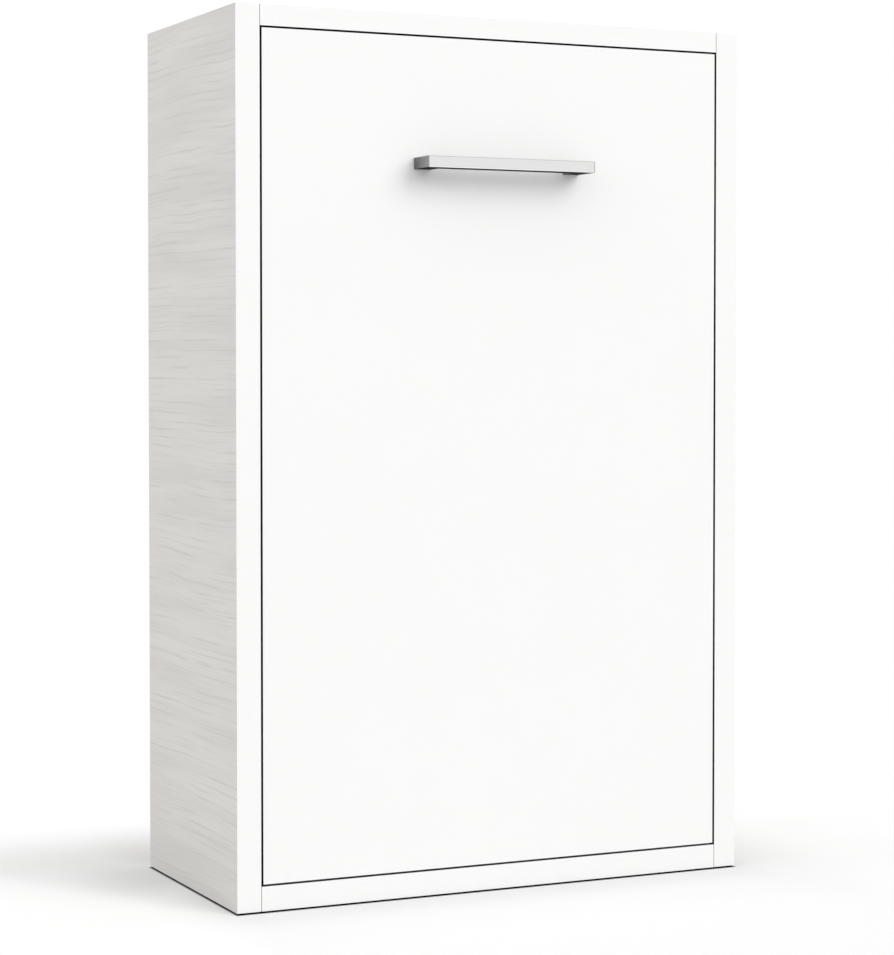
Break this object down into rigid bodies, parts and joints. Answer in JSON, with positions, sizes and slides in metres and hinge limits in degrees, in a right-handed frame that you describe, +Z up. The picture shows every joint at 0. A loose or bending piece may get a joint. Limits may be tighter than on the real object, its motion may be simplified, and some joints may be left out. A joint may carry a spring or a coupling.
{
  "type": "wall bed",
  "caption": "Vertical wall bed: a deep cabinet whose full-height front folds down on low pivots and gas springs, with slats and mattress behind it and a bar handle that is also the foot.",
  "frame": {"origin": "on the floor, under the middle of the closed bed's bounding box", "axes": "+Z up, +Y from the front to the wall, +X to the right as seen from the front"},
  "size_m": [1.39, 0.738, 2.18],
  "materials": {
    "ash_decor": "pale wavy ash decor on board, matt",
    "white_board": "white laminate on board, satin",
    "white_edging": "white edging strip, satin",
    "white_hardboard": "white lacquered hardboard, matt",
    "white_plastic": "moulded white plastic",
    "brushed_aluminium": "fine brushed along the bar",
    "grey_frame_steel": "grey powder coat",
    "zinc_steel": "bright zinc plate",
    "black_tube": "black gloss paint",
    "hard_chrome": "ground and chromed rod",
    "beech_plywood": "bent beech plywood, sanded",
    "black_plastic": "moulded black plastic",
    "black_rubber": "matt rubber",
    "mattress_cover": "quilted knitted cover",
    "black_webbing": "woven webbing"
  },
  "bodies": {
    "cabinet": {"side_panel_left": "ash_decor", "side_panel_right": "ash_decor", "side_edging": "white_edging", "top_panel": "white_board", "bottom_rail": "white_board", "headboard_panel": "white_board", "head_shelf": "white_board", "back_panel_upper": "white_hardboard", "back_panel_lower": "white_hardboard", "back_joint_strip": "white_plastic", "rear_rail_top": "white_board", "rear_rail_bottom": "white_board", "wall_brackets": "zinc_steel", "cam_locks": "zinc_steel", "cam_bolts": "zinc_steel", "floor_glides": "black_plastic", "stop_blocks": "white_board", "closing_buffers": "black_rubber", "pivot_plates": "zinc_steel", "spring_brackets": "zinc_steel", "cabinet_screws": "zinc_steel"},
    "bed": {"front_panel": "white_board", "handle": "brushed_aluminium", "handle_screws": "zinc_steel", "side_rail_left": "grey_frame_steel", "side_rail_right": "grey_frame_steel", "head_rail": "grey_frame_steel", "foot_rail": "grey_frame_steel", "cross_rails": "grey_frame_steel", "slat_holders": "black_plastic", "lever_plates": "grey_frame_steel", "pivot_bushes": "black_plastic", "lever_bolts": "zinc_steel", "panel_brackets": "zinc_steel", "panel_screws": "zinc_steel", "mattress": "mattress_cover", "mattress_retainers": "grey_frame_steel", "bedding_straps": "black_webbing", "strap_buckles": "black_plastic", "slat_1": "beech_plywood", "slat_2": "beech_plywood", "slat_3": "beech_plywood", "slat_4": "beech_plywood", "slat_5": "beech_plywood", "slat_6": "beech_plywood", "slat_7": "beech_plywood", "slat_8": "beech_plywood", "slat_9": "beech_plywood", "slat_10": "beech_plywood", "slat_11": "beech_plywood"},
    "spring_tube_left": {"gas_cylinder_left": "black_tube", "cylinder_eye_left": "zinc_steel"},
    "spring_rod_left": {"gas_rod_left": "hard_chrome", "rod_eye_left": "zinc_steel", "rod_stud_left": "zinc_steel"},
    "spring_tube_right": {"gas_cylinder_right": "black_tube", "cylinder_eye_right": "zinc_steel"},
    "spring_rod_right": {"gas_rod_right": "hard_chrome", "rod_eye_right": "zinc_steel", "rod_stud_right": "zinc_steel"}
  },
  "joints": [
    {"name": "bed_hinge", "type": "hinge", "parent": "cabinet", "child": "bed", "pos_m": [0, -0.161, 0.208], "axis": [1, 0, 0], "range_deg": [0, 90], "stiffness_Nm_per_rad": 420, "springref_deg": -17.19},
    {"name": "spring_tube_left_hinge", "type": "hinge", "parent": "cabinet", "child": "spring_tube_left", "pos_m": [-0.6175, 0.019, 0.708], "axis": [1, 0, 0], "range_deg": [0, 9.35]},
    {"name": "spring_rod_left_slide", "type": "slide", "parent": "spring_tube_left", "child": "spring_rod_left", "axis": [0, 0.2788, 0.9603], "range_m": [0, 0.1421]},
    {"name": "spring_tube_right_hinge", "type": "hinge", "parent": "cabinet", "child": "spring_tube_right", "pos_m": [0.6175, 0.019, 0.708], "axis": [1, 0, 0], "range_deg": [0, 9.35]},
    {"name": "spring_rod_right_slide", "type": "slide", "parent": "spring_tube_right", "child": "spring_rod_right", "axis": [0, 0.2788, 0.9603], "range_m": [0, 0.1421]}
  ],
  "couplings": [
    {"joint": "spring_tube_left_hinge", "follows": "bed_hinge", "ratio": 0.10385},
    {"joint": "spring_rod_left_slide", "follows": "bed_hinge", "m_per_rad": 0.090409},
    {"joint": "spring_tube_right_hinge", "follows": "bed_hinge", "ratio": 0.10385},
    {"joint": "spring_rod_right_slide", "follows": "bed_hinge", "m_per_rad": 0.090409}
  ]
}
